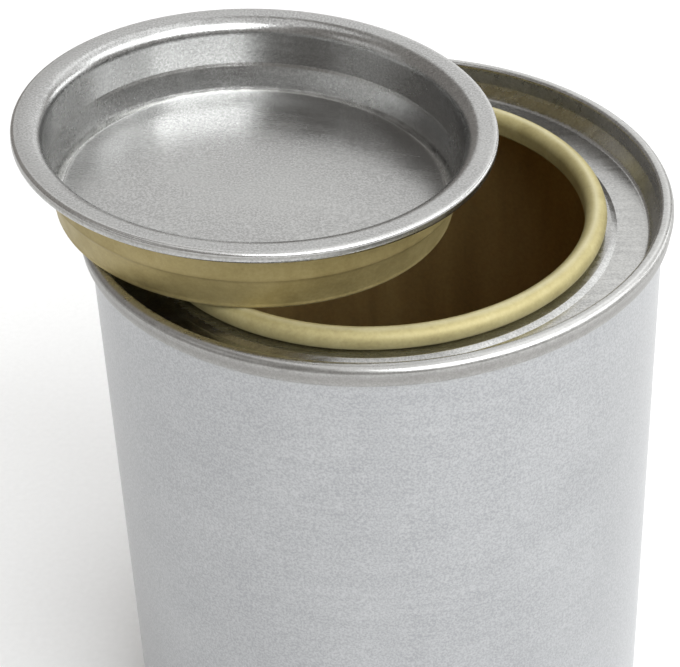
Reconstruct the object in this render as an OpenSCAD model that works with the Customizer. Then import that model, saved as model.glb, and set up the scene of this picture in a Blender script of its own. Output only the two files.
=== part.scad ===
// Half-litre tinplate paint tin with a press-in lid lying loose across its mouth.
// Each sheet-metal piece is a strip of sheet that follows a centre line, spun round the can's axis.
// The origin is the centre of the rim that the can stands on.

/* [Can] */
// Outer diameter of the can's wall
body_d = 86; // [76:0.5:120]
// Height of the can from the bottom seam's rim to the top seam's rim
can_h = 108; // [40:1:250]
// Thickness of the body sheet
body_t = 0.24; // [0.18:0.01:0.3]
// Width of the lap where the body sheet is welded into a tube
weld_w = 1; // [0.6:0.1:2]
// How far the weld stands out on each side of the wall
weld_h = 0.08; // [0.04:0.01:0.15]
// Direction of the weld round the can, in degrees
weld_at = 75; // [0:5:355]

/* [Double seams] */
// Thickness of the sheet of the top ring and the bottom end
end_t = 0.26; // [0.2:0.01:0.3]
// Height of a seam
seam_h = 3.2; // [2.9:0.1:4]
// Room for sealing compound on each side of a hook
seam_gap = 0.245; // [0.2:0.005:0.3]
// Film between two sheets that are pressed together
film = 0.03; // [0.02:0.01:0.06]
// Length of the hook turned out of the body sheet
body_hook = 1.9; // [1.5:0.1:2.1]
// Length of the hook turned in from the seam's lower edge
cover_hook = 2.1; // [1.6:0.1:2.3]
// Radius of the seam's rounded outer shoulder
shoulder_r = 1.1; // [0.9:0.05:1.2]
// Radius of the seam's inner edge
crest_r = 0.63; // [0.45:0.01:0.7]
// Depth of the fine crease that the seaming roll leaves under the shoulder
crease = 0.06; // [0.02:0.01:0.1]
// How far the seam's face leans in towards its lower edge
seam_lean = 0.2; // [0:0.05:0.25]
// Thickness of the bead of sealing compound
compound_t = 0.17; // [0.1:0.01:0.18]

/* [Top ring] */
// Depth of the paint channel's floor below the seam's rim
channel_depth = 5.1; // [4.6:0.1:8]
// How far the channel's outer wall leans in below the seam
channel_lean = 1.45; // [0.5:0.05:2.5]
// Radius at the foot of the channel's outer wall
channel_r = 0.8; // [0.4:0.1:1.4]
// Diameter of the mouth inside its curled edge
mouth_d = 63; // [50:0.5:64]
// Diameter of the curl round the mouth
bead_d = 3.24; // [2.4:0.02:3.6]
// Depth of the curl's top below the seam's rim
bead_down = 1.4; // [0.6:0.1:2]
// How far the curled edge is rolled round, in degrees
bead_turn = 285; // [240:5:290]
// Clearance between the curl and the step under it
bead_clear = 0.06; // [0.04:0.01:0.1]
// How far the step under the curl reaches out past it
step_out = 0.66; // [0.2:0.02:1.2]
// Run of the slope from that step to the channel's floor
step_run = 0.9; // [0.6:0.1:1.5]

/* [Bottom end] */
// Depth of the countersink inside the bottom seam
sink_depth = 4.4; // [4:0.1:6]
// Width of the flat ring at the countersink's deepest part
sink_w = 3; // [2:0.5:6]
// Height of the panel's steps, which let the end flex
step_h = 0.8; // [0.4:0.1:1.2]
// Run of each step's slope
slope_w = 1.2; // [0.8:0.1:2]
// Radius of the panel's inner step
inner_step_r = 24; // [16:1:28]
// Radius of the bends in the panel
panel_r = 0.7; // [0.4:0.1:1]

/* [Lid] */
// Thickness of the lid's sheet
lid_t = 0.25; // [0.2:0.01:0.3]
// Height of the hemmed edge of the rim
hem_h = 1.7; // [1.5:0.1:2.4]
// Width of the hemmed edge
hem_w = 1.1; // [0.9:0.05:1.8]
// Clearance between the hemmed edge and the curl that it hangs round when the lid is pressed home
hem_gap = 0.06; // [0.04:0.01:0.4]
// How much wider the lid's shoulder is rolled than the curl that it presses on
shoulder_more = 0.65; // [0:0.05:1]
// Clearance between the lid's plug and the mouth
plug_gap = 0.12; // [0.05:0.01:0.2]
// Depth of the plug below the top of the rim
plug_h = 13.2; // [11:0.1:18]
// Depth of the knuckle that stiffens the plug's wall
knuckle_down = 7.5; // [5:0.1:9]
// How far the wall steps in at the knuckle
knuckle_in = 0.22; // [0.1:0.01:0.4]
// Height of the knuckle's slope
knuckle_h = 0.5; // [0.3:0.1:1]
// How far the plug's lower edge lies inside its upper wall
plug_lean = 1.38; // [0.8:0.01:2]
// Radius of the fold round the plug's lower edge, at its middle
fold_r = 0.5; // [0.4:0.05:0.7]
// Height of the lid's floor above the plug's lower edge
floor_up = 1.8; // [1.2:0.1:2.5]
// Rise of the floor at its centre
dome = 0.4; // [0:0.1:1]

/* [Resting place of the lid] */
// How far the plug's lower edge lies out past the seam's rim
lid_reach = 3.62; // [2:0.02:8]
// Direction in which the lid is pushed across, in degrees
lid_at = 172.4; // [0:0.2:360]
// Clearance between the lid and the rims that it lies on
seat_gap = 0.05; // [0.03:0.01:0.1]

/* [Hidden] */
round_fn = 128;
tin = [0.74, 0.76, 0.78];
tin_dark = [0.62, 0.64, 0.66];
grey = [0.35, 0.36, 0.36];

// Middle radii of the five layers of a double seam, from the inside out
wall_r = body_d / 2 - body_t / 2;
chuck_r = wall_r - body_t / 2 - film - end_t / 2;
cover_hook_r = wall_r + body_t / 2 + seam_gap + end_t / 2;
body_hook_r = cover_hook_r + end_t / 2 + seam_gap + body_t / 2;
seam_r = body_hook_r + body_t / 2 + seam_gap + end_t / 2;
// Depth below the rim of the fold in the body sheet
body_fold = end_t + film + body_t / 2;
// Radius of the seam's lower fold, a little less than half the way between its two legs
lower_fold_r = 0.42 * (seam_r - crease - seam_lean - cover_hook_r);

// Middle lines of the top ring's channel, step and neck, measured from the rim
channel_z = -channel_depth - end_t / 2;
step_z = -bead_down - bead_d - bead_clear - end_t / 2;
neck_r = mouth_d / 2 + end_t / 2;
bead_mid = [mouth_d / 2 + bead_d / 2, -bead_down - bead_d / 2];
bead_line_r = bead_d / 2 - end_t / 2;

// The lid's plug, and the fold round its lower edge
plug_r = mouth_d / 2 - plug_gap - lid_t / 2;
plug_low_r = plug_r - plug_lean;
fold_mid_r = plug_low_r - fold_r;
fold_tube = fold_r + lid_t / 2;
fold_drop = plug_h - fold_tube;
floor_r = plug_low_r - 2 * fold_r;
floor_z = -plug_h + floor_up - lid_t / 2;
lid_shoulder_r = bead_d / 2 + lid_t / 2 + shoulder_more;

// The lid lies on two round edges of the can: the seam's inner edge and the curl
edge_r = chuck_r + crest_r - end_t / 2;
lid_shift = edge_r + lid_reach - fold_mid_r;
lid_tilt = settle(-10, 20, 40);
lid_z = height_on(edge_r, 0, lid_tilt) + seat_gap;

function unit(v) = v / norm(v);

// Arc round the corner b between the points a and c, with radius r
function bend(a, b, c, r) =
    let (
        u = unit(a - b),
        v = unit(c - b),
        half = acos(u * v) / 2,
        mid = b + unit(u + v) * r / sin(half),
        start = b + u * r / tan(half) - mid,
        end = b + v * r / tan(half) - mid,
        from = atan2(start[1], start[0]),
        turn = atan2(start[0] * end[1] - start[1] * end[0], start * end),
        steps = max(2, ceil(abs(turn) / 15))
    )
    [for (i = [0 : steps]) mid + r * [cos(from + turn * i / steps), sin(from + turn * i / steps)]];

// Line through the corners [x, z, radius], with each corner rounded
function rounded(corners) =
    let (last = len(corners) - 1, p = [for (c = corners) [c[0], c[1]]])
    distinct([
        for (i = [0 : last])
            each (i == 0 || i == last || corners[i][2] == 0
                ? [p[i]]
                : bend(p[i - 1], p[i], p[i + 1], corners[i][2]))
    ]);

// Points round mid from one angle to another
function arc(mid, r, from, to) =
    let (steps = ceil(abs(to - from) / 15))
    [for (i = [0 : steps]) mid + r * [cos(from + (to - from) * i / steps), sin(from + (to - from) * i / steps)]];

// The same points without those that fall on the one before
function distinct(p) = [for (i = [0 : len(p) - 1]) if (i == 0 || norm(p[i] - p[max(0, i - 1)]) > 0.002) p[i]];

function normal(a, b) = let (d = unit(b - a)) [-d[1], d[0]];

// Line moved sideways by s, with mitred corners
function beside(line, s) =
    let (last = len(line) - 1)
    [
        for (i = [0 : last])
            let (
                u = normal(line[max(0, i - 1)], line[max(1, i)]),
                v = normal(line[min(last - 1, i)], line[min(last, i + 1)]),
                w = u + v
            )
            line[i] + w * (2 * s / (w * w))
    ];

function reversed(p) = [for (i = [len(p) - 1 : -1 : 0]) p[i]];

// Outline of a strip of sheet of thickness t along a line
function strip(line, t) = concat(beside(line, t / 2), reversed(beside(line, -t / 2)));

function upside_down(corners) = [for (c = corners) [c[0], -c[1], c[2]]];

// Spins an outline round the axis, with nothing of it past the axis
module spun(outline) {
    rotate_extrude($fn = round_fn) polygon([for (p = outline) [max(0, p[0]), p[1]]]);
}

// Corners of the end's sheet through a seam, from its hook to the top of its inner wall, below a rim at height 0
function seam_corners() = [
    [cover_hook_r, -seam_h + cover_hook, 0],
    [cover_hook_r, -seam_h + end_t / 2, lower_fold_r],
    [seam_r - crease - seam_lean, -seam_h + end_t / 2, lower_fold_r],
    [seam_r - crease, -shoulder_r - 0.35, 0],
    [seam_r, -shoulder_r - 0.2, 0],
    [seam_r, -end_t / 2, shoulder_r - end_t / 2],
    [chuck_r, -end_t / 2, crest_r - end_t / 2]
];

// Line of the compound, between the two hooks and under the end of the body's
function compound_line() =
    let (x = (cover_hook_r + body_hook_r + (end_t - body_t) / 2) / 2, z = -body_fold - body_hook - seam_gap)
    rounded([[x, z + cover_hook - 0.6, 0], [x, z, compound_t], [body_hook_r + body_t / 2, z, 0]]);

// Cosine of the angle round the lid at which its lower edge passes over the circle of radius r
function crossing(r, tilt) =
    let (
        out = lid_shift + fold_drop * sin(tilt),
        a = -pow(fold_mid_r * sin(tilt), 2),
        b = 2 * out * fold_mid_r * cos(tilt),
        c = out * out + fold_mid_r * fold_mid_r - r * r
    )
    -2 * c / (b + sqrt(b * b - 4 * a * c));

// Height of the lid's rim above the seam's when its lower edge lies on that circle, whose top is at height z
function height_on(r, z, tilt) =
    z + fold_tube + fold_drop * cos(tilt) - fold_mid_r * crossing(r, tilt) * sin(tilt);

// Tilt at which the lid lies on the seam's inner edge and on the curl at the same time
function settle(low, high, steps) =
    let (
        mid = (low + high) / 2,
        on_seam = height_on(edge_r, 0, mid),
        on_curl = height_on(bead_mid[0], -bead_down, mid)
    )
    steps == 0 ? mid : on_seam > on_curl ? settle(mid, high, steps - 1) : settle(low, mid, steps - 1);

// Welded tube with a hook turned outwards at each end
module can_body() {
    r = (body_hook_r - wall_r) / 2;
    top = can_h - body_fold;
    line = rounded([
        [body_hook_r, body_fold + body_hook, 0],
        [body_hook_r, body_fold, r],
        [wall_r, body_fold, r],
        [wall_r, top, r],
        [body_hook_r, top, r],
        [body_hook_r, top - body_hook, 0]
    ]);
    color(tin) {
        spun(strip(line, body_t));
        weld();
    }
}

// The lapped edges of the body sheet, mashed nearly flat, between the two seams
module weld() {
    angle = weld_w / wall_r * 180 / PI;
    rotate([0, 0, weld_at - angle / 2])
        rotate_extrude(angle = angle, $fn = round_fn)
            translate([wall_r - body_t / 2 - weld_h, seam_h + sink_depth])
                square([body_t + 2 * weld_h, can_h - 2 * seam_h - sink_depth - channel_depth]);
}

// Disc whose edge is seamed to the body, with a countersunk panel
module bottom_end() {
    deep = sink_depth + end_t / 2;
    flat_r = chuck_r - 0.35;
    ring_r = flat_r - sink_w;
    line = rounded(concat(
        upside_down(seam_corners()),
        [
            [chuck_r, seam_h - 0.3, 0.4],
            [flat_r, deep, panel_r],
            [ring_r, deep, panel_r],
            [ring_r - slope_w, deep - step_h, panel_r],
            [inner_step_r + slope_w, deep - step_h, panel_r],
            [inner_step_r, deep - 2 * step_h, panel_r],
            [0, deep - 2 * step_h, 0]
        ]
    ));
    color(tin_dark) spun(strip(line, end_t));
}

// Ring that carries the mouth: seamed edge, paint channel, step, neck and a curled edge round the mouth
module top_ring() {
    step_r = mouth_d / 2 + bead_d + step_out;
    line = distinct(concat(
        rounded(concat(
            seam_corners(),
            [
                [chuck_r, -seam_h + 0.3, 0.4],
                [chuck_r - channel_lean, channel_z, channel_r],
                [step_r + step_run, channel_z, 0.3],
                [step_r, step_z, 0.3],
                [neck_r, step_z, 0.35],
                bead_mid - [bead_line_r, 0]
            ]
        )),
        arc(bead_mid, bead_line_r, 180, 180 - bead_turn)
    ));
    color(tin) translate([0, 0, can_h]) spun(strip(line, end_t));
}

// Rubbery compound squeezed between the hooks of each seam
module top_compound() {
    color(grey) translate([0, 0, can_h]) spun(strip(compound_line(), compound_t));
}

module bottom_compound() {
    color(grey) mirror([0, 0, 1]) spun(strip(compound_line(), compound_t));
}

// Press-in lid: hemmed rim, shoulder, plug with a knuckle, folded lower edge and a raised floor
module lid_at_origin() {
    hem_r = mouth_d / 2 + bead_d + hem_gap + hem_w - lid_t / 2;
    hem_bend = (hem_w - lid_t) / 2;
    line = rounded(concat(
        [
            [hem_r - 2 * hem_bend, -hem_h / 2, 0],
            [hem_r - 2 * hem_bend, -hem_h + lid_t / 2, hem_bend],
            [hem_r, -hem_h + lid_t / 2, hem_bend],
            [hem_r, -lid_t / 2, hem_bend],
            [plug_r, -lid_t / 2, lid_shoulder_r],
            [plug_r, -knuckle_down, 0.2],
            [plug_r - knuckle_in, -knuckle_down - knuckle_h, 0.2],
            [plug_low_r, -fold_drop + 0.3, 0.6],
            [plug_low_r, -plug_h + lid_t / 2, fold_r],
            [floor_r, -plug_h + lid_t / 2, fold_r],
            [floor_r, floor_z, 0.3]
        ],
        [for (i = [1 : 8]) let (x = floor_r * (1 - i / 8)) [x, floor_z + dome * (1 - pow(x / floor_r, 2)), 0]]
    ));
    color(tin) spun(strip(line, lid_t));
}

// The lid as it lies, pushed across the mouth and tilted on the two rims
module lid() {
    translate([0, 0, can_h])
        rotate([0, 0, lid_at])
            translate([lid_shift, 0, lid_z])
                rotate([0, -lid_tilt, 0])
                    lid_at_origin();
}

can_body();
bottom_end();
top_ring();
bottom_compound();
top_compound();
lid();
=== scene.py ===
import math

import bpy
from mathutils import Matrix, Vector


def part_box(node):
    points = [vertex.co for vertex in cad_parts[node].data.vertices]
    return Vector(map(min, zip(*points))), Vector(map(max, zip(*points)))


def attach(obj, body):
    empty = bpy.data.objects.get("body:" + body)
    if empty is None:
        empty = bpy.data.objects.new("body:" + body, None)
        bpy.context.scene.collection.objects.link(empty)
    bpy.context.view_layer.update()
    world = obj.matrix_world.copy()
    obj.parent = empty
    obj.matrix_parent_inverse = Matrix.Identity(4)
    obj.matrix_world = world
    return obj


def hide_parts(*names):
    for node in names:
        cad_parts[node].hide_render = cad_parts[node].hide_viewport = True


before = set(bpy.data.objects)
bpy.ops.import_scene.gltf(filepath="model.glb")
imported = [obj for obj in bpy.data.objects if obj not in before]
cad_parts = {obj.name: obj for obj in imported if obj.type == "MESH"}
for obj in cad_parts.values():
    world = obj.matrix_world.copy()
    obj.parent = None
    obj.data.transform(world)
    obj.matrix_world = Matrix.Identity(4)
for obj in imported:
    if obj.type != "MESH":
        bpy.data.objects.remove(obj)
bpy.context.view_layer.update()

# Sizes in this file are in millimetres, and become metres when multiplied by mm
mm = 0.001
rim_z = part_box("top_ring")[1].z


# Camera
# A long lens in front of the tin and above it, turned a little off the middle of the top, as the
# photograph was framed: the foot of the tin falls below the picture.
camera_distance = 301.5 * mm
camera_rise = math.radians(31.58)
camera_lens = 106.2
camera_yaw = math.radians(1.11)
camera_pitch = math.radians(3.982)
camera_roll = math.radians(-1.78)

camera_data = bpy.data.cameras.new("camera")
camera_data.lens = camera_lens
camera_data.sensor_width = 36
camera_data.clip_start = 0.01
camera_data.clip_end = 20
camera = bpy.data.objects.new("camera", camera_data)
bpy.context.scene.collection.objects.link(camera)
bpy.context.scene.camera = camera
towards = Vector((0, math.cos(camera_rise), -math.sin(camera_rise)))
aim = Matrix(((1, 0, 0), tuple(towards.cross(Vector((1, 0, 0)))), tuple(towards)))
turn = (
    Matrix.Rotation(camera_roll, 3, "Z")
    @ Matrix.Rotation(camera_yaw, 3, "Y")
    @ Matrix.Rotation(camera_pitch, 3, "X")
)
rows = turn @ aim
axes = Matrix((rows[0], -rows[1], -rows[2])).transposed()
camera.matrix_world = Matrix.Translation(Vector((0, 0, rim_z)) - towards * camera_distance) @ axes.to_4x4()


# Wall
# A sheet of tinplate rolled into a tube and welded up the back, with a hook turned out at each end
# that the two ends fold over. It is bare and faintly streaked by the rolling mill outside, and
# gold-lacquered inside.
outer_r = 43.0
can_h = rim_z / mm
body_t = 0.24
end_t = 0.26
film = 0.03
compound_room = 0.245
seam_h = 3.2
body_hook_l = 1.9
wall_r = outer_r - body_t / 2
chuck_r = wall_r - body_t / 2 - film - end_t / 2
cover_hook_r = wall_r + body_t / 2 + compound_room + end_t / 2
body_hook_r = cover_hook_r + end_t / 2 + compound_room + body_t / 2
seam_r = body_hook_r + body_t / 2 + compound_room + end_t / 2
hook_fold = end_t + film + body_t / 2
hook_end = hook_fold + body_hook_l
hook_bend = 0.98 * (body_hook_r - wall_r) / 2
smooth_below = math.radians(50)


def pick(obj, chosen):
    """Selects the vertices of a mesh in edit mode whose place passes a test."""
    bpy.ops.object.mode_set(mode="OBJECT")
    for part in (obj.data.polygons, obj.data.edges):
        part.foreach_set("select", [False] * len(part))
    for vertex in obj.data.vertices:
        vertex.select = chosen(vertex.co)
    bpy.ops.object.mode_set(mode="EDIT")


def start_line(name, corner):
    """Opens a new mesh that holds one vertex, the first of a sheet's middle line."""
    bpy.ops.object.select_all(action="DESELECT")
    bpy.ops.mesh.primitive_plane_add(size=mm, location=(0, 0, 0))
    obj = bpy.context.active_object
    obj.name = obj.data.name = name
    bpy.ops.object.mode_set(mode="EDIT")
    bpy.ops.mesh.select_mode(type="VERT")
    bpy.ops.mesh.select_all(action="SELECT")
    bpy.ops.mesh.merge(type="CENTER")
    bpy.ops.transform.translate(value=(corner[0] * mm, 0, corner[1] * mm))
    return obj


def sheet_line(name, painted_shade_and_dark_marks, base=0, bend_step=9):
    """Draws a sheet's middle line in the XZ plane, corner by corner, and rounds its bends.

    A corner is (radius from the axis, height above base, bend radius), in millimetres; base is in
    metres and bend_step in degrees."""
    painted_shade_and_dark_marks = [(x, z + base / mm, r) for x, z, r in painted_shade_and_dark_marks]
    obj = start_line(name, painted_shade_and_dark_marks[0])
    for a, b in zip(painted_shade_and_dark_marks, painted_shade_and_dark_marks[1:]):
        step = ((b[0] - a[0]) * mm, 0, (b[1] - a[1]) * mm)
        bpy.ops.mesh.extrude_region_move(TRANSFORM_OT_translate={"value": step})
    for a, b, c in zip(painted_shade_and_dark_marks, painted_shade_and_dark_marks[1:], painted_shade_and_dark_marks[2:]):
        if b[2] > 0:
            bend = Vector((b[0] - a[0], b[1] - a[1])).angle(Vector((c[0] - b[0], c[1] - b[1])))
            place = Vector((b[0] * mm, 0, b[1] * mm))
            pick(obj, lambda co, place=place: (co - place).length < 1e-6)
            bpy.ops.mesh.bevel(
                affect="VERTICES",
                offset_type="OFFSET",
                offset=b[2] * mm * math.tan(bend / 2),
                segments=max(2, round(math.degrees(bend) / bend_step)),
                profile=0.5,
                clamp_overlap=False,
            )
    return obj


def spin_sheet(obj, thickness, steps=192, flip=False):
    """Spins the line round the axis, closes the seam and gives the sheet its thickness.

    The front of the sheet has the first material slot and the back the second; flip swaps them."""
    bpy.ops.mesh.select_all(action="SELECT")
    bpy.ops.mesh.spin(steps=steps, angle=2 * math.pi, center=(0, 0, 0), axis=(0, 0, 1))
    bpy.ops.mesh.select_all(action="SELECT")
    bpy.ops.mesh.remove_doubles(threshold=2e-6)
    bpy.ops.mesh.normals_make_consistent(inside=False)
    if flip:
        bpy.ops.mesh.flip_normals()
    bpy.ops.object.mode_set(mode="OBJECT")
    obj.data.materials.append(None)
    obj.data.materials.append(None)
    sheet = obj.modifiers.new("sheet", "SOLIDIFY")
    sheet.thickness = thickness * mm
    sheet.offset = 0
    sheet.use_even_offset = True
    sheet.use_rim = True
    sheet.material_offset = 1
    bpy.ops.object.modifier_apply(modifier=sheet.name)
    bpy.ops.object.shade_smooth_by_angle(angle=smooth_below)


wall = sheet_line("tin_wall", [
    (body_hook_r, hook_end, 0),
    (body_hook_r, hook_fold, hook_bend),
    (wall_r, hook_fold, hook_bend),
    (wall_r, can_h * 0.25, 0),
    (wall_r, can_h * 0.5, 0),
    (wall_r, can_h * 0.75, 0),
    (wall_r, can_h - hook_fold, hook_bend),
    (body_hook_r, can_h - hook_fold, hook_bend),
    (body_hook_r, can_h - hook_end, 0),
])
spin_sheet(wall, body_t, flip=True)


def new_group(name, inputs, outputs):
    """Opens a node group with the named inputs (name, kind, value) and outputs (name, kind)."""
    group = bpy.data.node_groups.new(name, "ShaderNodeTree")
    for socket_name, kind, value in inputs:
        socket = group.interface.new_socket(socket_name, in_out="INPUT", socket_type="NodeSocket" + kind)
        if value is not None:
            socket.default_value = value
    for socket_name, kind in outputs:
        group.interface.new_socket(socket_name, in_out="OUTPUT", socket_type="NodeSocket" + kind)
    return group, group.nodes.new("NodeGroupInput").outputs, group.nodes.new("NodeGroupOutput").inputs


def noise(tree, place, scale, detail=2.0, roughness=0.5):
    """Noise over a place in metres; scale is in cells per metre."""
    node = tree.nodes.new("ShaderNodeTexNoise")
    node.inputs["Scale"].default_value = scale
    node.inputs["Detail"].default_value = detail
    node.inputs["Roughness"].default_value = roughness
    tree.links.new(place, node.inputs["Vector"])
    return node.outputs["Fac"]


def stretched(tree, place, scale, turn=(0, 0, 0)):
    """The place stretched along its axes, so that a pattern on it runs out into streaks."""
    node = tree.nodes.new("ShaderNodeMapping")
    node.inputs["Scale"].default_value = scale
    node.inputs["Rotation"].default_value = turn
    tree.links.new(place, node.inputs["Vector"])
    return node.outputs["Vector"]


def sums(tree, operation, first, second=None, third=None):
    """A Math node; each operand is a socket or a number."""
    node = tree.nodes.new("ShaderNodeMath")
    node.operation = operation
    for socket, operand in zip(node.inputs, (first, second, third)):
        if isinstance(operand, bpy.types.NodeSocket):
            tree.links.new(operand, socket)
        elif operand is not None:
            socket.default_value = operand
    return node.outputs[0]


def spread(tree, value, low, high, to_low=0.0, to_high=1.0):
    """Maps the range low to high of a value to another, with soft ends."""
    node = tree.nodes.new("ShaderNodeMapRange")
    node.interpolation_type = "SMOOTHSTEP"
    for name, number in (("From Min", low), ("From Max", high), ("To Min", to_low), ("To Max", to_high)):
        node.inputs[name].default_value = number
    tree.links.new(value, node.inputs["Value"])
    return node.outputs["Result"]


# Grain of the mill-rolled sheet: a fine tooth all over, streaks along the rolling and soft clouds
mill_grain, place_in, grain_out = new_group(
    "mill_grain",
    [
        ("Place", "Vector", None),
        ("Rolled", "Vector", None),
        ("Tooth", "Float", 0.5),
        ("Streak", "Float", 0.3),
    ],
    [("Tone", "Float"), ("Dull", "Float"), ("Height", "Float")],
)
tooth = spread(mill_grain, noise(mill_grain, place_in["Place"], 3000, 3, 0.7), 0.34, 0.66)
streak = spread(mill_grain, noise(mill_grain, place_in["Rolled"], 1100, 5, 0.65), 0.3, 0.7)
clouds = spread(mill_grain, noise(mill_grain, place_in["Place"], 75, 4, 0.6), 0.3, 0.7)
toothed = sums(mill_grain, "MULTIPLY", tooth, place_in["Tooth"])
streaked = sums(mill_grain, "MULTIPLY", streak, place_in["Streak"])
fine = sums(mill_grain, "ADD", toothed, streaked)
half_clouds = sums(mill_grain, "MULTIPLY", clouds, 0.5)
mill_grain.links.new(sums(mill_grain, "MULTIPLY_ADD", clouds, 0.18, fine), grain_out["Tone"])
mill_grain.links.new(sums(mill_grain, "MULTIPLY_ADD", streak, 0.5, half_clouds), grain_out["Dull"])
mill_grain.links.new(fine, grain_out["Height"])

# A mark that follows a circle round the axis, for painted shade in corners, painted highlights and
# reflections on edges, darker and lighter bands, and a worn foot
ring_mark, mark_in, mark_out = new_group(
    "ring_mark",
    [
        ("Place", "Vector", None),
        ("Radius", "Float", 0.04),
        ("Height", "Float", 0.1),
        ("Reach", "Float", 0.001),
    ],
    [("Mark", "Float")],
)
parts = ring_mark.nodes.new("ShaderNodeSeparateXYZ")
ring_mark.links.new(mark_in["Place"], parts.inputs[0])
x, y, z = parts.outputs
y_squared = sums(ring_mark, "MULTIPLY", y, y)
from_axis = sums(ring_mark, "SQRT", sums(ring_mark, "MULTIPLY_ADD", x, x, y_squared))
aside = sums(ring_mark, "SUBTRACT", from_axis, mark_in["Radius"])
above = sums(ring_mark, "SUBTRACT", z, mark_in["Height"])
above_squared = sums(ring_mark, "MULTIPLY", above, above)
away = sums(ring_mark, "SQRT", sums(ring_mark, "MULTIPLY_ADD", aside, aside, above_squared))
ragged = sums(ring_mark, "MULTIPLY_ADD", noise(ring_mark, mark_in["Place"], 420, 4, 0.65), 1.1, 0.45)
ragged_reach = sums(ring_mark, "MULTIPLY", mark_in["Reach"], ragged)
near = sums(ring_mark, "SUBTRACT", 1.0, sums(ring_mark, "DIVIDE", away, ragged_reach))
mark = ring_mark.nodes.new("ShaderNodeClamp")
ring_mark.links.new(near, mark.inputs["Value"])
ring_mark.links.new(mark.outputs[0], mark_out["Mark"])


def new_material(name, metallic=1.0, roughness=0.3):
    """Opens a material; gives it, its node tree and its shader."""
    material = bpy.data.materials.new(name)
    material.use_nodes = True
    shader = material.node_tree.nodes["Principled BSDF"]
    shader.inputs["Metallic"].default_value = metallic
    shader.inputs["Roughness"].default_value = roughness
    return material, material.node_tree, shader


def object_place(tree):
    """The place in the object's own axes, in metres."""
    return tree.nodes.new("ShaderNodeTexCoord").outputs["Object"]


def place_group(tree, group, **values):
    """Places a node group in a material, with its sockets linked or set by name."""
    node = tree.nodes.new("ShaderNodeGroup")
    node.node_tree = group
    for name, value in values.items():
        if isinstance(value, bpy.types.NodeSocket):
            tree.links.new(value, node.inputs[name])
        else:
            node.inputs[name].default_value = value
    return node.outputs


def tones(tree, value, *stops):
    """A colour for each value, from stops of (position, colour)."""
    node = tree.nodes.new("ShaderNodeValToRGB")
    ramp = node.color_ramp
    while len(ramp.elements) < len(stops):
        ramp.elements.new(0.5)
    for element, (position, colour) in zip(ramp.elements, stops):
        element.position = position
        element.color = (*colour, 1)
    tree.links.new(value, node.inputs["Fac"])
    return node.outputs["Color"]


def blend(tree, factor, first, second):
    """Mixes two colours by a mask; each is a socket or a colour."""
    node = tree.nodes.new("ShaderNodeMix")
    node.data_type = "RGBA"
    tree.links.new(factor, node.inputs["Factor"])
    for socket, colour in ((node.inputs[6], first), (node.inputs[7], second)):
        if isinstance(colour, bpy.types.NodeSocket):
            tree.links.new(colour, socket)
        else:
            socket.default_value = (*colour, 1)
    return node.outputs[2]


def raise_surface(tree, shader, height, depth, strength=1.0, under=None):
    """Feeds a height to the shader's normal as a bump of the given depth in metres."""
    node = tree.nodes.new("ShaderNodeBump")
    node.inputs["Strength"].default_value = strength
    node.inputs["Distance"].default_value = depth
    tree.links.new(height, node.inputs["Height"])
    if under is not None:
        tree.links.new(under, node.inputs["Normal"])
    tree.links.new(node.outputs["Normal"], shader.inputs["Normal"])
    return node.outputs["Normal"]


wall_tones = ((0.15, (0.33, 0.336, 0.346)), (0.5, (0.40, 0.406, 0.416)), (0.85, (0.47, 0.476, 0.486)))
# Painted shade: the wall is darkened next to each seam, just under the top one and just above the bottom one
wall_painted_shade = (0.33, 0.33, 0.32)
seam_shade_r = (outer_r + 0.1) * mm
seam_shade_h = (seam_h + 0.2) * mm

wall_tin, tree, shader = new_material("wall_tinplate")
place = object_place(tree)
rolled = stretched(tree, place, (0.05, 0.05, 1))
grain = place_group(tree, mill_grain, Place=place, Rolled=rolled, Tooth=0.6, Streak=0.15)
tin_colour = tones(tree, grain["Tone"], *wall_tones)
# Masks of the painted shade next to the two seams
shade_under_top_seam = place_group(tree, ring_mark, Place=place, Radius=seam_shade_r, Height=rim_z - seam_shade_h, Reach=1.2 * mm)
shade_above_bottom_seam = place_group(tree, ring_mark, Place=place, Radius=seam_shade_r, Height=seam_shade_h, Reach=1.4 * mm)
seam_shade = sums(tree, "MAXIMUM", shade_under_top_seam["Mark"], shade_above_bottom_seam["Mark"])
colour_with_painted_shade = blend(tree, sums(tree, "MULTIPLY", seam_shade, 0.45), tin_colour, wall_painted_shade)
tree.links.new(colour_with_painted_shade, shader.inputs["Base Color"])
tree.links.new(spread(tree, grain["Dull"], 0.1, 0.9, 0.29, 0.36), shader.inputs["Roughness"])
roll_marks = noise(tree, stretched(tree, place, (1, 1, 0.02)), 160, 2)
waves = raise_surface(tree, shader, roll_marks, 0.00006, 0.3)
raise_surface(tree, shader, grain["Height"], 0.000005, 0.5, under=waves)

inside_tones = ((0.3, (0.44, 0.31, 0.12)), (0.5, (0.54, 0.38, 0.15)), (0.7, (0.62, 0.46, 0.19)))

gold_inside, tree, shader = new_material("gold_lacquer_inside", metallic=0.75)
place = object_place(tree)
shader.inputs["Coat Roughness"].default_value = 0.25
runs = noise(tree, stretched(tree, place, (1, 1, 0.12)), 220, 4, 0.6)
specks = noise(tree, place, 1800, 2)
lacquer = sums(tree, "MULTIPLY_ADD", specks, 0.35, sums(tree, "MULTIPLY", runs, 0.65))
tree.links.new(tones(tree, lacquer, *inside_tones), shader.inputs["Base Color"])
tree.links.new(spread(tree, runs, 0.3, 0.7, 0.5, 0.65), shader.inputs["Roughness"])
tree.links.new(spread(tree, runs, 0.3, 0.7, 0.05, 0.2), shader.inputs["Coat Weight"])
raise_surface(tree, shader, lacquer, 0.00003, 0.4)

wall.data.materials[0] = wall_tin
wall.data.materials[1] = gold_inside
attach(wall, "can")
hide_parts("can_body")


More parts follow.
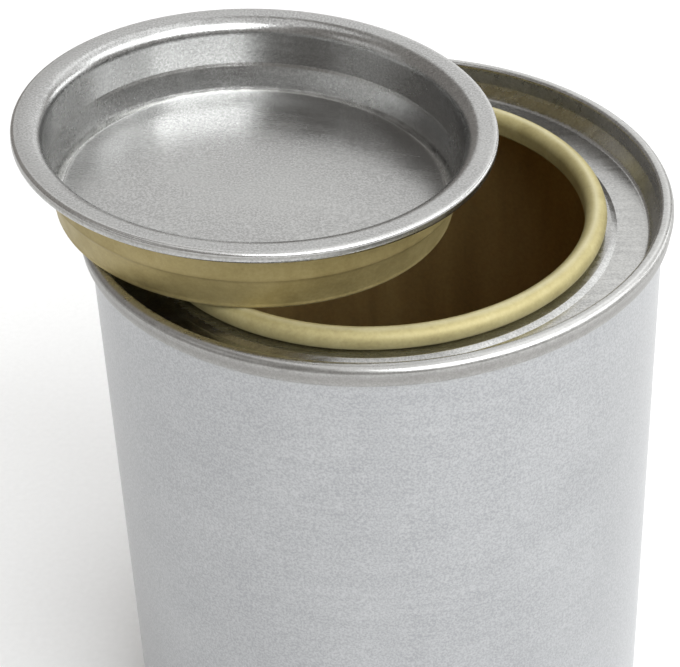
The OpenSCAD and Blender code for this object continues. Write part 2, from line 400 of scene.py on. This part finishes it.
# Weld
# The two edges of the wall's sheet lap by a millimetre up the back and are mashed together between
# two copper wheels, which leaves a narrow raised bar of close-set nuggets, blued by the heat outside
# and lacquered over inside.
weld_at = math.radians(75)
weld_w = 1.0
weld_rise = 0.07
weld_back = 0.05
weld_turn = weld_w / outer_r
weld_end = seam_h - 0.1
inside_low = 4.9
inside_high = can_h - 5.6


def weld_bar(name, radius, low, high, rise, lengths=24):
    """A bar up the wall with its long edges rounded down to the sheet and its back let into it."""
    bar = start_line(name, (radius, low))
    up = (0, 0, (high - low) / lengths * mm)
    for _ in range(lengths):
        bpy.ops.mesh.extrude_region_move(TRANSFORM_OT_translate={"value": up})
    bpy.ops.mesh.select_all(action="SELECT")
    bpy.ops.transform.rotate(value=-(weld_at - weld_turn / 2), orient_axis="Z", center_override=(0, 0, 0))
    bpy.ops.mesh.spin(steps=8, angle=weld_turn, center=(0, 0, 0), axis=(0, 0, 1))
    bpy.ops.object.mode_set(mode="OBJECT")
    for vertex in bar.data.vertices:
        across = (math.atan2(vertex.co.y, vertex.co.x) - weld_at) / (weld_turn / 2)
        crown = rise * math.sqrt(max(0.0, 1 - abs(across) ** 3))
        flat = Vector((vertex.co.x, vertex.co.y, 0)).normalized()
        vertex.co = flat * ((radius + crown) * mm) + Vector((0, 0, vertex.co.z))
    back = bar.modifiers.new("back", "SOLIDIFY")
    back.thickness = weld_back * mm
    back.offset = 0
    bpy.ops.object.modifier_apply(modifier=back.name)
    bpy.ops.object.mode_set(mode="EDIT")
    bpy.ops.mesh.select_all(action="SELECT")
    bpy.ops.mesh.normals_make_consistent(inside=False)
    bpy.ops.object.mode_set(mode="OBJECT")
    bpy.ops.object.shade_smooth_by_angle(angle=smooth_below)
    return bar


weld_outside = weld_bar("weld_outside", outer_r, weld_end, can_h - weld_end, weld_rise)
weld_inside = weld_bar("weld_inside", outer_r - body_t, inside_low, inside_high, -weld_rise)

heat_tones = ((0.3, (0.27, 0.28, 0.31)), (0.5, (0.35, 0.36, 0.38)), (0.72, (0.43, 0.41, 0.37)))

weld_tin, tree, shader = new_material("blued_weld")
place = object_place(tree)
nuggets = noise(tree, stretched(tree, place, (0.25, 0.25, 1)), 1400, 1)
heat = noise(tree, place, 500, 3, 0.6)
tree.links.new(tones(tree, heat, *heat_tones), shader.inputs["Base Color"])
tree.links.new(spread(tree, nuggets, 0.3, 0.7, 0.32, 0.55), shader.inputs["Roughness"])
raise_surface(tree, shader, nuggets, 0.00008, 0.8)
for bar, skin in ((weld_outside, weld_tin), (weld_inside, gold_inside)):
    bar.data.materials.append(skin)
    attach(bar, "can")


# Bottom end
# A pressed disc, sunk inside its seam, with two shallow steps that let it flex. Its edge is curled
# over the wall's hook with a bead of compound and rolled flat: a double seam. It is bare below and
# lacquered inside.
cover_hook_l = 2.1
crease = 0.06
crease_high = 1.3
crease_low = 1.45
crease_bend = 0.1
seam_lean = 0.2
seam_outer_bend = 1.1
seam_inner_bend = 0.63
chuck_h = 2.9
bottom_sink = 4.4
step_drop = 0.8
step_bend = 0.7
middle_r = 24
lower_fold = 0.42 * (seam_r - crease - seam_lean - cover_hook_r)
seam_line = [
    (cover_hook_r, -seam_h + cover_hook_l, 0),
    (cover_hook_r, -seam_h + end_t / 2, lower_fold),
    (seam_r - crease - seam_lean, -seam_h + end_t / 2, lower_fold),
    (seam_r - crease, -crease_low, crease_bend),
    (seam_r, -crease_high, crease_bend),
    (seam_r, -end_t / 2, seam_outer_bend - end_t / 2),
    (chuck_r, -end_t / 2, seam_inner_bend - end_t / 2),
]
sink = bottom_sink + end_t / 2
bottom = sheet_line("bottom_end_sheet", [(x, -z, r) for x, z, r in seam_line] + [
    (chuck_r, chuck_h, 0.4),
    (chuck_r - 0.35, sink, step_bend),
    (chuck_r - 3.35, sink, step_bend),
    (chuck_r - 4.55, sink - step_drop, step_bend),
    (middle_r + 1.2, sink - step_drop, step_bend),
    (middle_r, sink - 2 * step_drop, step_bend),
    (middle_r / 2, sink - 2 * step_drop, 0),
    (0, sink - 2 * step_drop, 0),
])
spin_sheet(bottom, end_t)

bottom_tones = ((0.15, (0.46, 0.475, 0.49)), (0.5, (0.53, 0.54, 0.55)), (0.85, (0.60, 0.605, 0.61)))
# A darker colour in the corner where the sunk panel meets its wall
sunk_corner_colour = (0.36, 0.35, 0.33)
rubbed_foot = (0.42, 0.41, 0.40)

bottom_tin, tree, shader = new_material("bottom_tinplate")
place = object_place(tree)
rolled = stretched(tree, place, (0.04, 1, 1))
grain = place_group(tree, mill_grain, Place=place, Rolled=rolled, Tooth=0.45, Streak=0.35)
foot_rub = place_group(tree, ring_mark, Place=place, Radius=43.6 * mm, Height=0, Reach=0.9 * mm)
sunk_corner_mark = place_group(
    tree, ring_mark, Place=place, Radius=41.9 * mm, Height=bottom_sink * mm, Reach=2.6 * mm
)
tin_colour = tones(tree, grain["Tone"], *bottom_tones)
sunk_corner_darkened = blend(tree, sums(tree, "MULTIPLY", sunk_corner_mark["Mark"], 0.5), tin_colour, sunk_corner_colour)
tree.links.new(blend(tree, foot_rub["Mark"], sunk_corner_darkened, rubbed_foot), shader.inputs["Base Color"])
dull = spread(tree, grain["Dull"], 0.1, 0.9, 0.3, 0.46)
tree.links.new(sums(tree, "MULTIPLY_ADD", foot_rub["Mark"], 0.16, dull), shader.inputs["Roughness"])
raise_surface(tree, shader, grain["Height"], 0.000005, 0.5)

bottom.data.materials[0] = bottom_tin
bottom.data.materials[1] = gold_inside
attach(bottom, "can")
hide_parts("bottom_end")


# Top ring
# The pressed ring seamed to the top of the wall: an inner wall that leans in, a channel that
# catches drips, a step, and a neck whose edge is curled outwards, so its lacquered side shows.
mouth_r = 31.5
bead_d = 3.24
bead_turn = 285
bead_drop = 1.4
curl_steps = 40
channel_depth = 5.1
channel_lean = 1.45
step_gap = 0.06
bead_line_r = (bead_d - end_t) / 2
bead_mid = (mouth_r + bead_d / 2, -bead_drop - bead_d / 2)
channel_z = -channel_depth - end_t / 2
step_z = bead_mid[1] - bead_d / 2 - step_gap - end_t / 2
step_r = mouth_r + bead_d + 0.66
curl = [
    (bead_mid[0] + bead_line_r * math.cos(turned), bead_mid[1] + bead_line_r * math.sin(turned), 0)
    for turned in (math.radians(180 - bead_turn * step / curl_steps) for step in range(curl_steps + 1))
]
ring = sheet_line("top_ring_sheet", seam_line + [
    (chuck_r, -chuck_h, 0.4),
    (chuck_r - channel_lean, channel_z, 0.8),
    (step_r + 0.9, channel_z, 0.3),
    (step_r, step_z, 0.3),
    (mouth_r + end_t / 2, step_z, 0.35),
] + curl, base=rim_z)
spin_sheet(ring, end_t)

ring_tones = ((0.15, (0.38, 0.38, 0.375)), (0.5, (0.48, 0.48, 0.47)), (0.85, (0.58, 0.58, 0.57)))
# Painted shade in the channel's foot, under the curl and in the seam's crease, a painted reflection line on
# the seam's shoulder, and a darker seam face
ring_painted_shade_and_seam_dark = (0.17, 0.16, 0.15)
# Painted highlight: the seam's crest is lightened
crest_highlight_tin = (0.66, 0.66, 0.65)

ring_tin, tree, shader = new_material("ring_tinplate")
place = object_place(tree)
rolled = stretched(tree, place, (0.04, 1, 0.5))
grain = place_group(tree, mill_grain, Place=place, Rolled=rolled, Tooth=0.5, Streak=0.3)


def ring_marked(tree, place, radius, below_rim, reach):
    """The mask of a mark round the ring; radius, distance below the rim and reach in millimetres."""
    return place_group(
        tree, ring_mark, Place=place, Radius=radius * mm, Height=rim_z - below_rim * mm, Reach=reach * mm
    )["Mark"]


# Mask of the painted highlight on the seam's crest
seam_crest_highlight = ring_marked(tree, place, 43.7, 0, 0.8)
# A darker seam face, a painted reflection line on the seam's shoulder, and painted shade in its crease, under
# the curl and at the channel's foot
seam_face = ring_marked(tree, place, 44.6, 2.0, 3.2)
shoulder_reflection_line = ring_marked(tree, place, 44.4, 0.8, 0.26)
crease_shade_line = ring_marked(tree, place, 44.5, 1.4, 0.22)
shade_under_curl = ring_marked(tree, place, 35.2, 4.4, 0.9)
channel_foot_shade = ring_marked(tree, place, 41.2, channel_depth, 0.8)
painted_dark_lines = sums(tree, "MAXIMUM", shoulder_reflection_line, crease_shade_line)
foot_shade = sums(tree, "MULTIPLY", sums(tree, "MAXIMUM", shade_under_curl, channel_foot_shade), 0.45)
seam_face_darkening = sums(tree, "MULTIPLY", seam_face, 0.9)
painted_shade_and_dark_marks = sums(tree, "MAXIMUM", sums(tree, "MAXIMUM", foot_shade, painted_dark_lines), seam_face_darkening)
tin_colour = tones(tree, grain["Tone"], *ring_tones)
colour_with_painted_shade = blend(tree, sums(tree, "MULTIPLY", painted_shade_and_dark_marks, 0.75), tin_colour, ring_painted_shade_and_seam_dark)
lightened_colour = blend(tree, sums(tree, "MULTIPLY", seam_crest_highlight, 0.5), colour_with_painted_shade, crest_highlight_tin)
tree.links.new(lightened_colour, shader.inputs["Base Color"])
dull = spread(tree, grain["Dull"], 0.1, 0.9, 0.19, 0.27)
tree.links.new(sums(tree, "MULTIPLY_ADD", painted_shade_and_dark_marks, 0.2, dull), shader.inputs["Roughness"])
ripple = noise(tree, place, 130, 1)
waves = raise_surface(tree, shader, ripple, 0.0001, 0.25)
raise_surface(tree, shader, grain["Height"], 0.000005, 0.45, under=waves)

curl_tones = ((0.3, (0.33, 0.28, 0.13)), (0.5, (0.42, 0.365, 0.175)), (0.7, (0.50, 0.445, 0.235)))
# Painted highlight: a lighter line along the bead's crest
curl_highlight_colour = (0.74, 0.71, 0.52)

gold_curl, tree, shader = new_material("gold_lacquer_curl", metallic=0.45)
place = object_place(tree)
shader.inputs["Coat Roughness"].default_value = 0.2
specks = noise(tree, place, 2000, 3, 0.65)
film_clouds = noise(tree, place, 260, 3, 0.6)
lacquer = sums(tree, "MULTIPLY_ADD", specks, 0.45, sums(tree, "MULTIPLY", film_clouds, 0.55))
# Mask of the painted highlight on the bead's crest
bead_crest_highlight = ring_marked(tree, place, bead_mid[0], bead_drop, 0.7)
gold_colour = tones(tree, lacquer, *curl_tones)
lightened_colour = blend(tree, sums(tree, "MULTIPLY", bead_crest_highlight, 0.35), gold_colour, curl_highlight_colour)
tree.links.new(lightened_colour, shader.inputs["Base Color"])
tree.links.new(spread(tree, lacquer, 0.3, 0.7, 0.55, 0.7), shader.inputs["Roughness"])
tree.links.new(spread(tree, film_clouds, 0.3, 0.7, 0.05, 0.2), shader.inputs["Coat Weight"])
raise_surface(tree, shader, specks, 0.000005, 0.5)

ring.data.materials[0] = ring_tin
ring.data.materials[1] = gold_curl
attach(ring, "can")
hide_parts("top_ring")


# Lid
# One pressing: a hemmed rim, a shoulder rolled to press on the mouth's curl, a plug with a knuckle
# and a folded lower edge, and a raised floor. It is bare above and lacquered below, and lies loose
# across the mouth, tilted on the two rims.
lid_t = 0.25
lid_depth = 13.2
hem_w = 1.1
hem_h = 1.7
hem_tuck = 0.85
hem_room = 0.06
plug_room = 0.12
plug_taper = 1.38
shoulder_more = 0.65
knuckle_high = 7.5
knuckle_low = 8.0
knuckle_in = 0.22
foot_from = 12.275
fold_bend = 0.49
floor_up = 1.8
dome = 0.4
dome_steps = 8
hem_r = mouth_r + bead_d + hem_room + hem_w - lid_t / 2
hem_bend = (hem_w - lid_t) / 2
plug_r = mouth_r - plug_room - lid_t / 2
plug_low_r = plug_r - plug_taper
floor_r = plug_low_r - 1
floor_z = -lid_depth + floor_up - lid_t / 2
lid_floor = [
    (floor_r * inwards, floor_z + dome * (1 - inwards ** 2), 0)
    for inwards in (1 - step / dome_steps for step in range(1, dome_steps + 1))
]
lid = sheet_line("lid_sheet", [
    (hem_r - 2 * hem_bend, -hem_tuck, 0),
    (hem_r - 2 * hem_bend, -hem_h + lid_t / 2, hem_bend * 0.98),
    (hem_r, -hem_h + lid_t / 2, hem_bend * 0.98),
    (hem_r, -lid_t / 2, hem_bend),
    (plug_r, -lid_t / 2, bead_d / 2 + lid_t / 2 + shoulder_more),
    (plug_r, -knuckle_high, 0.2),
    (plug_r - knuckle_in, -knuckle_low, 0.2),
    (plug_low_r, -foot_from, 0.6),
    (plug_low_r, -lid_depth + lid_t / 2, fold_bend),
    (floor_r, -lid_depth + lid_t / 2, fold_bend),
    (floor_r, floor_z, 0.3),
] + lid_floor)
spin_sheet(lid, lid_t)
own_place = lid.data.attributes.new("own_place", "FLOAT_VECTOR", "POINT")
own_place.data.foreach_set("vector", [c for vertex in lid.data.vertices for c in vertex.co])


def lid_place(tree):
    """The place in the lid's own level axes, kept from before it was tilted."""
    node = tree.nodes.new("ShaderNodeAttribute")
    node.attribute_name = "own_place"
    return node.outputs["Vector"]


def lid_marked(tree, place, radius, height, reach):
    """The mask of a mark round the lid; radius, height from its top and reach in millimetres."""
    return place_group(
        tree, ring_mark, Place=place, Radius=radius * mm, Height=height * mm, Reach=reach * mm
    )["Mark"]


lid_tones = ((0.15, (0.34, 0.34, 0.335)), (0.5, (0.435, 0.435, 0.43)), (0.85, (0.53, 0.53, 0.525)))
# Painted shade: a dark painted reflection line on the hem's outer face and painted shade along the knuckle
lid_painted_shade = (0.2, 0.19, 0.17)
# Painted highlight: the hem's crest, the floor's rounded edge and the fold round the floor are lightened
highlight_tin = (0.85, 0.85, 0.84)

lid_tin, tree, shader = new_material("lid_tinplate")
place = lid_place(tree)
rolled = stretched(tree, place, (0.05, 1, 1), (0, 0, 0.5))
grain = place_group(tree, mill_grain, Place=place, Rolled=rolled, Tooth=0.6, Streak=0.1)
# Masks of the painted highlights on the hem's crest and round the floor's edge
hem_crest_highlight = lid_marked(tree, place, hem_r - 0.1, 0, 0.7)
floor_edge_highlight = lid_marked(tree, place, floor_r, floor_z + lid_t / 2, 0.5)
# Masks of the painted shade at the knuckle and the painted reflection line on the hem
knuckle_shade = lid_marked(tree, place, plug_r - 0.2, -(knuckle_high + knuckle_low) / 2, 0.6)
hem_reflection_line = lid_marked(tree, place, hem_r + lid_t / 2, -0.7, 0.45)
fold_foot_highlight = lid_marked(tree, place, floor_r + 0.5, -12.9, 1.7)
painted_shade_and_dark_marks = sums(tree, "MAXIMUM", hem_reflection_line, sums(tree, "MULTIPLY", knuckle_shade, 0.4))
fold_highlight = sums(tree, "MINIMUM", sums(tree, "MULTIPLY", fold_foot_highlight, 2.5), 0.9)
edge_highlights = sums(tree, "MAXIMUM", floor_edge_highlight, fold_highlight)
painted_highlight = sums(tree, "MAXIMUM", sums(tree, "MULTIPLY", hem_crest_highlight, 0.4), edge_highlights)
tin_colour = tones(tree, grain["Tone"], *lid_tones)
colour_with_painted_shade = blend(tree, sums(tree, "MULTIPLY", painted_shade_and_dark_marks, 0.6), tin_colour, lid_painted_shade)
tree.links.new(blend(tree, painted_highlight, colour_with_painted_shade, highlight_tin), shader.inputs["Base Color"])
smudges = spread(tree, noise(tree, place, 38, 3, 0.6), 0.35, 0.7, 0, 0.05)
dull = spread(tree, grain["Dull"], 0.1, 0.9, 0.215, 0.265)
tree.links.new(sums(tree, "ADD", smudges, dull), shader.inputs["Roughness"])
buckle = noise(tree, place, 45, 1)
waves = raise_surface(tree, shader, buckle, 0.0003, 0.15)
raise_surface(tree, shader, grain["Height"], 0.000005, 0.6, under=waves)

lid_gold_tones = ((0.3, (0.30, 0.24, 0.10)), (0.5, (0.38, 0.31, 0.135)), (0.7, (0.46, 0.38, 0.18)))
# Painted shade along the knuckle on the plug's underside
gold_knuckle_shade = (0.22, 0.17, 0.07)
# A lighter colour on the plug's bottom fold
fold_lighter_gold = (0.55, 0.50, 0.33)

lid_gold, tree, shader = new_material("gold_lacquer_lid", metallic=0.6)
place = lid_place(tree)
shader.inputs["Coat Roughness"].default_value = 0.3
specks = noise(tree, place, 2000, 3, 0.65)
film_clouds = noise(tree, place, 240, 4, 0.65)
lacquer = sums(tree, "MULTIPLY_ADD", specks, 0.5, sums(tree, "MULTIPLY", film_clouds, 0.5))
gold_colour = tones(tree, lacquer, *lid_gold_tones)
knuckle_shade = lid_marked(tree, place, plug_r + 0.05, -7.6, 0.55)
fold_lighter_mark = lid_marked(tree, place, plug_low_r - 0.5, -lid_depth, 0.7)
darker = blend(tree, sums(tree, "MULTIPLY", knuckle_shade, 0.4), gold_colour, gold_knuckle_shade)
lightened_colour = blend(tree, sums(tree, "MULTIPLY", fold_lighter_mark, 0.4), darker, fold_lighter_gold)
tree.links.new(lightened_colour, shader.inputs["Base Color"])
tree.links.new(spread(tree, lacquer, 0.3, 0.7, 0.55, 0.7), shader.inputs["Roughness"])
tree.links.new(spread(tree, film_clouds, 0.3, 0.7, 0.1, 0.35), shader.inputs["Coat Weight"])
raise_surface(tree, shader, specks, 0.000005, 0.5)

lid.data.materials[0] = lid_tin
lid.data.materials[1] = lid_gold

# The loose lid's resting place: pushed aside, raised and tilted until it lies on both rims
lid_turn = math.radians(172.4)
lid_shift = 17.345
lid_rise = 11.9994
lid_tilt = math.radians(-3.8218)
lid.data.transform(
    Matrix.Translation((0, 0, rim_z))
    @ Matrix.Rotation(lid_turn, 4, "Z")
    @ Matrix.Translation((lid_shift * mm, 0, lid_rise * mm))
    @ Matrix.Rotation(lid_tilt, 4, "Y")
)
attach(lid, "lid")
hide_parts("lid")


# Compound
# A soft rubbery bead, laid in the curl of each end before it is seamed and squeezed between the
# hooks, where it keeps the paint in. It keeps its CAD shape.
compound, tree, shader = new_material("grey_compound", metallic=0.0)
place = object_place(tree)
pores = noise(tree, place, 3200, 3, 0.6)
pore_colour = tones(tree, pores, (0.3, (0.06, 0.065, 0.065)), (0.7, (0.12, 0.125, 0.12)))
tree.links.new(pore_colour, shader.inputs["Base Color"])
tree.links.new(spread(tree, pores, 0.3, 0.7, 0.65, 0.85), shader.inputs["Roughness"])
raise_surface(tree, shader, pores, 0.00005, 0.6)
for name in ("top_compound", "bottom_compound"):
    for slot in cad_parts[name].material_slots:
        slot.material = compound


# Floor and light
# A white table in a pale room, lit by softboxes: the strongest stands in front, a little to the
# right, two fainter ones on the right, and wide weak ones overhead, behind and on the left. Standard
# colours keep the table as white as the photograph's.
bpy.context.scene.view_settings.view_transform = "Standard"
bpy.ops.object.select_all(action="DESELECT")
bpy.ops.mesh.primitive_plane_add(size=6, location=(0, 0, 0))
floor = bpy.context.active_object
floor.name = "floor"
floor_white, tree, shader = new_material("white_table", metallic=0.0, roughness=0.8)
paper = noise(tree, object_place(tree), 900, 3)
table_colour = tones(tree, paper, (0.3, (0.90, 0.90, 0.90)), (0.7, (0.93, 0.93, 0.93)))
tree.links.new(table_colour, shader.inputs["Base Color"])
floor.data.materials.append(floor_white)

world = bpy.data.worlds.new("pale_room")
bpy.context.scene.world = world
world.use_nodes = True
room = world.node_tree.nodes["Background"]
room.inputs["Color"].default_value = (1, 0.95, 0.9, 1)
room.inputs["Strength"].default_value = 0.35

tin_middle = Vector((0, 0, 0.09))
light_distance = 1.5
light_colour = (0.97, 0.99, 1.0)


def softbox(name, turn, rise, width, height, brightness):
    """A softbox round the tin that faces it; turn is from +X towards the back, in degrees."""
    data = bpy.data.lights.new(name, "AREA")
    data.shape = "RECTANGLE"
    data.size = width
    data.size_y = height
    data.color = light_colour
    data.energy = brightness * math.pi * width * height
    light = bpy.data.objects.new(name, data)
    bpy.context.scene.collection.objects.link(light)
    turn, rise = math.radians(turn), math.radians(rise)
    outward = Vector((math.cos(rise) * math.cos(turn), math.cos(rise) * math.sin(turn), math.sin(rise)))
    light.location = tin_middle + outward * light_distance
    light.rotation_euler = outward.to_track_quat("Z", "Y").to_euler()


softbox("front_right", -56, 40, 1.3, 0.95, 5.8)
softbox("low_right", 28, 9, 0.8, 0.3, 3.4)
softbox("right", -9, 31, 1.2, 0.7, 2.5)
softbox("over_right", 25, 48, 1.5, 1.3, 1.0)
softbox("behind", 77, 38, 1.2, 1.0, 0.8)
softbox("low_behind", 70, 13, 0.9, 0.4, 1.0)
softbox("left", -150, 26, 0.9, 0.6, 0.5)
softbox("overhead", -60, 80, 1.5, 1.5, 0.7)
